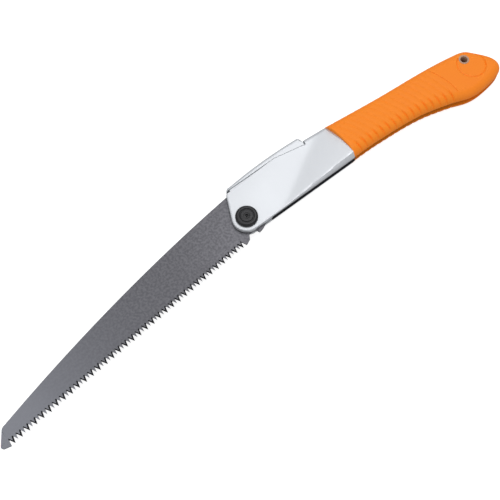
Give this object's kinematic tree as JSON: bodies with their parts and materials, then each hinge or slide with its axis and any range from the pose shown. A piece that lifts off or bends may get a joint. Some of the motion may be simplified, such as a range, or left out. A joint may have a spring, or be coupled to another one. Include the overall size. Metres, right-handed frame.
{
  "type": "folding pruning saw",
  "caption": "Folding pruning saw: toothed blade pivoting into a slotted cast handle with a spine lever lock, a clamped pivot bolt and a ribbed rubber grip with a hanging hole.",
  "frame": {"origin": "pivot axis, on the outer face of the pivot nut on the far side", "axes": "+X along the handle towards its butt, with the open blade along -X; +Y towards the spine, teeth towards -Y; +Z along the pivot axis towards the bolt head. The saw lies on its nut side."},
  "size_m": [0.5189, 0.0708, 0.0204],
  "materials": {
    "blade_steel": "fine ground, dark coated",
    "bush_steel": "turned",
    "washer_bronze": "plain",
    "spring_steel": "drawn wire, stamped",
    "black_steel": "black oxide, satin",
    "cast_alloy": "satin silver on die casting",
    "liner_plastic": "moulded",
    "pawl_steel": "hardened, ground",
    "pin_steel": "ground",
    "grip_rubber": "moulded elastomer, matte",
    "eyelet_plastic": "moulded"
  },
  "bodies": {
    "handle": {"handle_frame": "cast_alloy", "channel_liner": "liner_plastic", "grip_sleeve": "grip_rubber", "butt_cap": "grip_rubber", "hang_eyelet": "eyelet_plastic", "pivot_bolt": "black_steel", "pivot_nut": "black_steel", "spring_washer": "spring_steel", "pivot_bushing": "bush_steel", "near_washer": "washer_bronze", "far_washer": "washer_bronze", "lever_pin": "pin_steel", "lever_spring": "spring_steel"},
    "blade": {"saw_blade": "blade_steel"},
    "lever": {"lock_lever": "cast_alloy", "lock_pawl": "pawl_steel"}
  },
  "joints": [
    {"name": "blade_fold", "type": "hinge", "parent": "handle", "child": "blade", "pos_m": [0, 0, 0.0075], "axis": [0, 0, 1], "range_deg": [0, 168.5]},
    {"name": "lever_lock", "type": "hinge", "parent": "handle", "child": "lever", "pos_m": [0.042, 0.0205, 0.0075], "axis": [0, 0, 1], "range_deg": [0, 2.4], "stiffness_Nm_per_rad": 1.2, "deforming": ["lever_spring"]}
  ]
}
